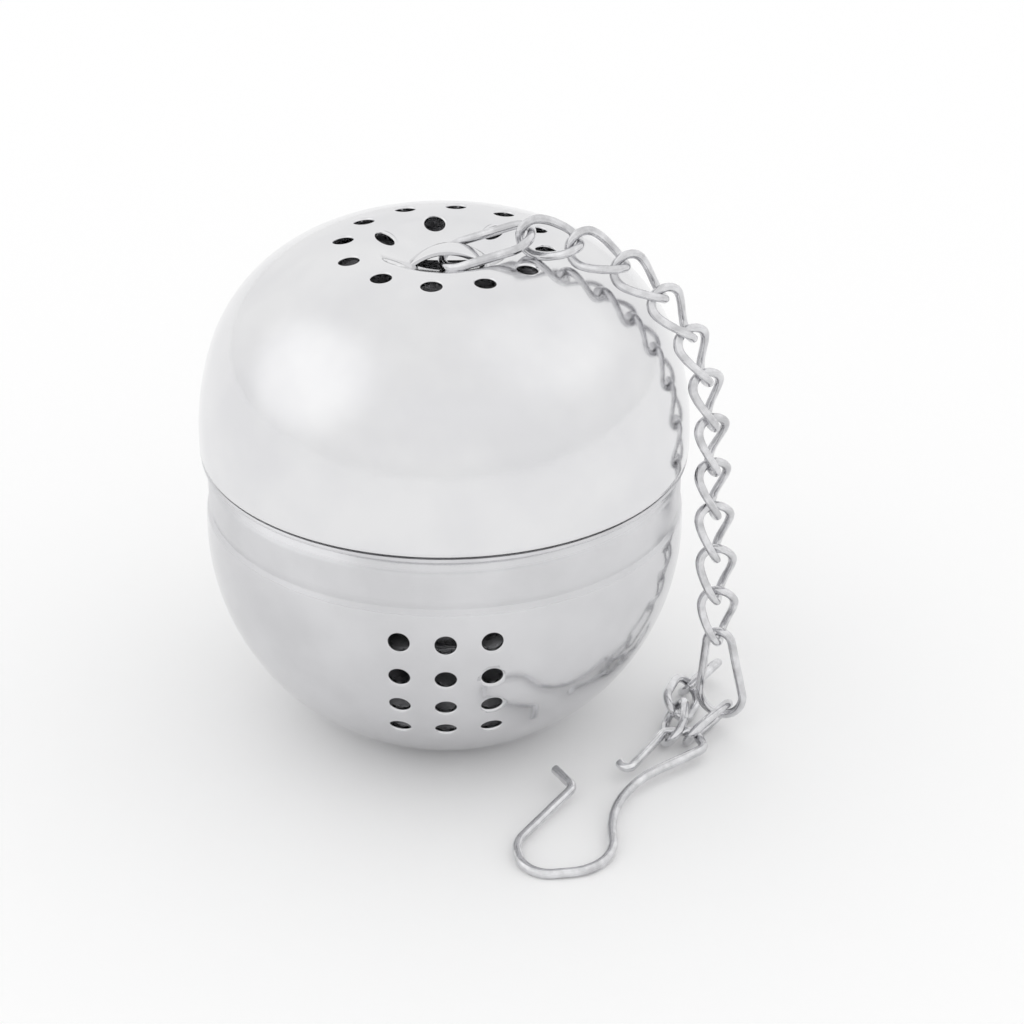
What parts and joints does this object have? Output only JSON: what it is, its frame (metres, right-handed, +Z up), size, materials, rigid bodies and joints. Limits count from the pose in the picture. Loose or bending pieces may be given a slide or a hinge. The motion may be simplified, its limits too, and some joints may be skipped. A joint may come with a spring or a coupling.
{
  "type": "tea infuser",
  "caption": "Ball tea infuser: perforated steel bowl and screw-on domed lid with a strap that holds a wire-link chain ending in a bent hook for a cup rim.",
  "frame": {"origin": "centre of the flat foot under the bowl, which is the face it stands on", "axes": "+Z up through the lid, +X towards the side where the chain hangs, -Y towards the front where the first group of holes faces"},
  "size_m": [0.0459, 0.0471, 0.0461],
  "materials": {
    "bowl_steel": "polished stainless steel sheet with a brushed band",
    "lid_steel": "polished stainless steel sheet",
    "collar_steel": "rolled stainless steel strip",
    "chain_wire": "drawn and tumbled stainless steel wire",
    "hook_wire": "drawn stainless steel wire"
  },
  "bodies": {
    "bowl": {"bowl": "bowl_steel"},
    "collar": {"threaded_collar": "collar_steel"},
    "lid": {"lid": "lid_steel"},
    "top_link": {"top_link": "chain_wire"},
    "chain_link_01": {"chain_link_01": "chain_wire"},
    "chain_link_02": {"chain_link_02": "chain_wire"},
    "chain_link_03": {"chain_link_03": "chain_wire"},
    "chain_link_04": {"chain_link_04": "chain_wire"},
    "chain_link_05": {"chain_link_05": "chain_wire"},
    "chain_link_06": {"chain_link_06": "chain_wire"},
    "chain_link_07": {"chain_link_07": "chain_wire"},
    "chain_link_08": {"chain_link_08": "chain_wire"},
    "chain_link_09": {"chain_link_09": "chain_wire"},
    "chain_link_10": {"chain_link_10": "chain_wire"},
    "chain_link_11": {"chain_link_11": "chain_wire"},
    "low_link": {"low_link": "chain_wire"},
    "hook_link": {"hook_link": "chain_wire"},
    "hook": {"hook": "hook_wire"},
    "spare_link_1": {"spare_link_1": "chain_wire"},
    "spare_link_2": {"spare_link_2": "chain_wire"},
    "spare_link_3": {"spare_link_3": "chain_wire"}
  },
  "joints": [
    {"name": "lid_lift", "type": "slide", "parent": "bowl", "child": "collar", "axis": [0, 0, 1], "range_m": [0, 0.0042]},
    {"name": "lid_turn", "type": "hinge", "parent": "collar", "child": "lid", "pos_m": [0, 0, 0.0257], "axis": [0, 0, 1], "range_deg": [0, 170]},
    {"name": "top_link_swing", "type": "hinge", "parent": "lid", "child": "top_link", "pos_m": [-0.00015, -0.00158, 0.04242], "axis": [-0.1219, -0.9925, 0], "range_deg": [0, 60]},
    {"name": "chain_link_01_swing", "type": "hinge", "parent": "top_link", "child": "chain_link_01", "pos_m": [0.00639, -0.00238, 0.04489], "axis": [-0.1219, -0.9925, 0], "range_deg": [0, 12]},
    {"name": "chain_link_02_swing", "type": "hinge", "parent": "chain_link_01", "child": "chain_link_02", "pos_m": [0.01037, -0.00287, 0.04435], "axis": [-0.1219, -0.9925, 0], "range_deg": [0, 12]},
    {"name": "chain_link_03_swing", "type": "hinge", "parent": "chain_link_02", "child": "chain_link_03", "pos_m": [0.01407, -0.00333, 0.04276], "axis": [-0.1219, -0.9925, 0], "range_deg": [0, 12]},
    {"name": "chain_link_04_swing", "type": "hinge", "parent": "chain_link_03", "child": "chain_link_04", "pos_m": [0.01721, -0.00371, 0.04024], "axis": [-0.1219, -0.9925, 0], "range_deg": [0, 12]},
    {"name": "chain_link_05_swing", "type": "hinge", "parent": "chain_link_04", "child": "chain_link_05", "pos_m": [0.01958, -0.004, 0.03697], "axis": [-0.1219, -0.9925, 0], "range_deg": [0, 12]},
    {"name": "chain_link_06_swing", "type": "hinge", "parent": "chain_link_05", "child": "chain_link_06", "pos_m": [0.02102, -0.00418, 0.03319], "axis": [-0.1219, -0.9925, 0], "range_deg": [0, 12]},
    {"name": "chain_link_07_swing", "type": "hinge", "parent": "chain_link_06", "child": "chain_link_07", "pos_m": [0.02174, -0.00427, 0.02919], "axis": [-0.1219, -0.9925, 0], "range_deg": [0, 12]},
    {"name": "chain_link_08_swing", "type": "hinge", "parent": "chain_link_07", "child": "chain_link_08", "pos_m": [0.02198, -0.0043, 0.02514], "axis": [-0.1219, -0.9925, 0], "range_deg": [0, 12]},
    {"name": "chain_link_09_swing", "type": "hinge", "parent": "chain_link_08", "child": "chain_link_09", "pos_m": [0.0223, -0.00434, 0.0211], "axis": [-0.1219, -0.9925, 0], "range_deg": [0, 12]},
    {"name": "chain_link_10_swing", "type": "hinge", "parent": "chain_link_09", "child": "chain_link_10", "pos_m": [0.02261, -0.00438, 0.01705], "axis": [-0.1219, -0.9925, 0], "range_deg": [0, 12]},
    {"name": "chain_link_11_swing", "type": "hinge", "parent": "chain_link_10", "child": "chain_link_11", "pos_m": [0.02293, -0.00441, 0.013], "axis": [-0.1219, -0.9925, 0], "range_deg": [0, 12]},
    {"name": "low_link_swing", "type": "hinge", "parent": "chain_link_11", "child": "low_link", "pos_m": [0.02325, -0.00445, 0.00895], "axis": [-0.1219, -0.9925, 0], "range_deg": [0, 8]},
    {"name": "hook_link_swing", "type": "hinge", "parent": "low_link", "child": "hook_link", "pos_m": [0.02373, -0.00521, 0.00154], "axis": [-0.9052, 0.4128, -0.1009], "range_deg": [0, 12]},
    {"name": "hook_turn", "type": "hinge", "parent": "hook_link", "child": "hook", "pos_m": [0.02062, -0.00903, 0.00163], "axis": [0, 0, 1], "range_deg": [0, 25]},
    {"name": "spare_link_1_turn", "type": "hinge", "parent": "hook", "child": "spare_link_1", "pos_m": [0.01934, -0.00875, 0.00172], "axis": [0, 0, 1], "range_deg": [0, 15]},
    {"name": "spare_link_2_turn", "type": "hinge", "parent": "spare_link_1", "child": "spare_link_2", "pos_m": [0.01982, -0.00452, 0.00156], "axis": [0, 0, 1], "range_deg": [0, 20]},
    {"name": "spare_link_3_turn", "type": "hinge", "parent": "spare_link_2", "child": "spare_link_3", "pos_m": [0.02127, -0.00087, 0.00151], "axis": [0, 0, 1], "range_deg": [0, 20]}
  ]
}
